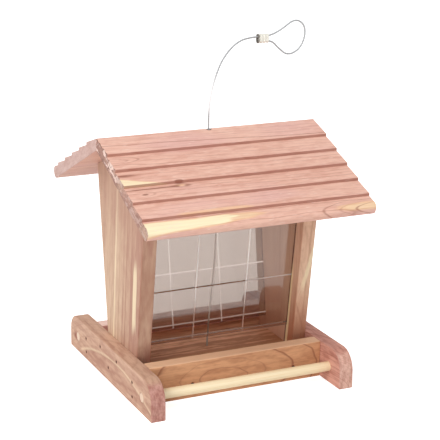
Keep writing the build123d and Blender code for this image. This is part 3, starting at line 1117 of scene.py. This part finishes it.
CABLE_METAL = 0.35
steel = metal(
    "galvanised_steel", (0.56, 0.57, 0.58), (0.41, 0.42, 0.43), CABLE_METAL, 0.4, 900, 13)
washer_steel = metal(
    "washer_steel", (0.7, 0.71, 0.72), (0.54, 0.55, 0.56), 0.35, 0.4, 900, 13.5)
nail_steel = metal(
    "dull_nail_steel", (0.03, 0.017, 0.012), (0.012, 0.007, 0.005), 0, 0.65, 900, 14)
nail_steel.shade(Specular_IOR_Level=0)
aluminium = metal(
    "crimped_aluminium", (0.84, 0.82, 0.74), (0.7, 0.68, 0.6), 0.45, 0.38, 600, 15)
crimped = metal(
    "ferrule_aluminium", (0.86, 0.84, 0.77), (0.74, 0.72, 0.64), 0.45, 0.38, 600, 16)

# %% [markdown]
# ## Painted highlight on the cable, and painted shade in the ferrule
# The roof slides on the cable, and just above the ridge a painted highlight makes it pale. In the
# hopper the cable is matt and brown by the floor, and painted whitish above, as painted light
# against the shade under the roof. The ferrule's open mouth is painted dark, as painted shade in the
# hollow. Each of these is a mix over the colour that the metal has so far.

# %% Painted highlight and painted light on the cable
height = steel.height()
# Painted highlight just above the ridge.
painted_highlight = steel.rise(height, 0.333, 0.348) * (1 - steel.rise(height, 0.365, 0.392))
highlit_colour = steel.mix(painted_highlight * 0.85, steel.colour_so_far(), (0.95, 0.95, 0.95))
matt = 1 - steel.rise(height, 0.285, 0.315)
# Brown by the floor, and painted whitish above it as painted light against the shade under the roof.
painted_by_height = steel.mix(steel.rise(height, 0.05, 0.1), (0.36, 0.29, 0.23), (0.97, 0.96, 0.94))
steel.shade(Base_Color=steel.mix(matt * 0.9, highlit_colour, painted_by_height))
steel.shade(Metallic=CABLE_METAL - matt * CABLE_METAL)
print("cable steel has", len(steel.tree.nodes), "nodes")

# %% Painted shade in the ferrule's mouth
mouth = min(vert.co.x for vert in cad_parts["loop_ferrule"].data.vertices)
uneven = (crimped.noise(crimped.place(), 17, 2, 500) - 0.5) * 0.004
spread = crimped.split(crimped.place())[0] + uneven
# Painted shade near the ferrule's open mouth.
painted_mouth_shade = 1 - crimped.rise(spread, mouth + 0.0006, mouth + 0.0036)
crimped.shade(Base_Color=crimped.mix(painted_mouth_shade * 0.85, crimped.colour_so_far(), (0.07, 0.05, 0.04)))
print("the ferrule starts at", round(mouth, 4))

# %% [markdown]
# ## Nails, washer and sleeves
# Nails and washer are right as they are packed. The two sleeves are eased like the boards, with a
# much smaller radius.

# %% Nails, washer and sleeves
SLEEVE_EASE = 0.00035
SLEEVE_EDGE = 0.004
plain = {node: nail_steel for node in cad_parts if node.endswith("_nails")}
plain["cable_washer"] = washer_steel
for node, finish in plain.items():
    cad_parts[node].data.materials.clear()
    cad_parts[node].data.materials.append(finish.material)
print("packed as they are:", len(plain), "nodes")
eased_piece(
    "cable_stop_sleeve", SLEEVE_EASE, "feeder", aluminium.material, SLEEVE_EDGE)
ferrule = eased_piece(
    "loop_ferrule", SLEEVE_EASE, "hanger", crimped.material, SLEEVE_EDGE)

# %% [markdown]
# ## The cable
# When the roof goes up it pulls the cable upright. Here the cable rides on no body, and its mesh
# is baked in place. The loop rides on the hanger whole.

# %% Cable and loop
SMOOTH = 80
cable = finished("hanging_cable_laid", cable_mesh, None, steel.material, SMOOTH)
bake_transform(cable)
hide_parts("hanging_cable")
loop = finished("hanging_loop_laid", loop_mesh, "hanger", steel.material, SMOOTH)
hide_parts("hanging_loop")

# %% [markdown]
# ## Floor and sky
# The ground is pure white. A pale floor lights the underside of the wood as a table would. Emission
# lifts it to white, full for the camera and a little less for what gloss and clear panes show of
# it, so that no extra light falls on the feeder. The sky is soft for light, but white to look at.

# %% Floor
FLOOR_HALF = 6
bm = bmesh.new()
bmesh.ops.create_grid(bm, x_segments=1, y_segments=1, size=FLOOR_HALF)
floor_mesh = mesh_from(bm, "floor")
floor = bpy.data.objects.new("floor", floor_mesh)
scene.collection.objects.link(floor)
ground = Finish("pale_floor")
glow = ground.mix(ground.seen_ray(), (0, 0, 0), (0.72, 0.72, 0.72))
glow = ground.mix(ground.ray("Camera"), glow, (1, 1, 1))
ground.shade(Base_Color=(0.85, 0.85, 0.85), Roughness=0.9)
ground.shade(Emission_Color=glow, Emission_Strength=0.764)
floor_mesh.materials.append(ground.material)
print("floor", [round(side, 1) for side in floor.dimensions])

# %% Sky
world = bpy.data.worlds.new("studio")
scene.world = world
world.use_nodes = True
sky = Graph(world.node_tree)
soft = sky.node("Background", {"Color": (1, 1, 1), "Strength": 0.64})
white = sky.node("Background", {"Color": (1, 1, 1), "Strength": 1})
both = sky.node("MixShader", {0: sky.seen_ray(), 1: soft, 2: white})
sky.feed(world.node_tree.nodes["World Output"].inputs["Surface"], both)
print("sky has", len(world.node_tree.nodes), "nodes")

# %% [markdown]
# ## Lamps
# Two large square lamps stand to the left of the camera, so their shadows are soft. The key lamp is
# high and lights the roof. The fill lamp is low and lights the left wall and the hopper.

# %% Lamps
LAMP_SIZE = 1.6


def area_lamp(name, energy, spot, aim):
    """A square lamp that looks at a point."""
    light = bpy.data.lights.new(name, "AREA")
    light.size = LAMP_SIZE
    light.energy = energy
    lamp = bpy.data.objects.new(name, light)
    lamp.location = spot
    lamp.rotation_euler = (Vector(aim) - lamp.location).to_track_quat("-Z", "Y").to_euler()
    scene.collection.objects.link(lamp)
    print(name, "lamp", energy, "W at", spot)


area_lamp("key", 46, (-2, -1.1, 2.6), (0, 0, 0.2))
area_lamp("fill", 21, (-2.2, -1.7, 0.5), (0, 0, 0.15))
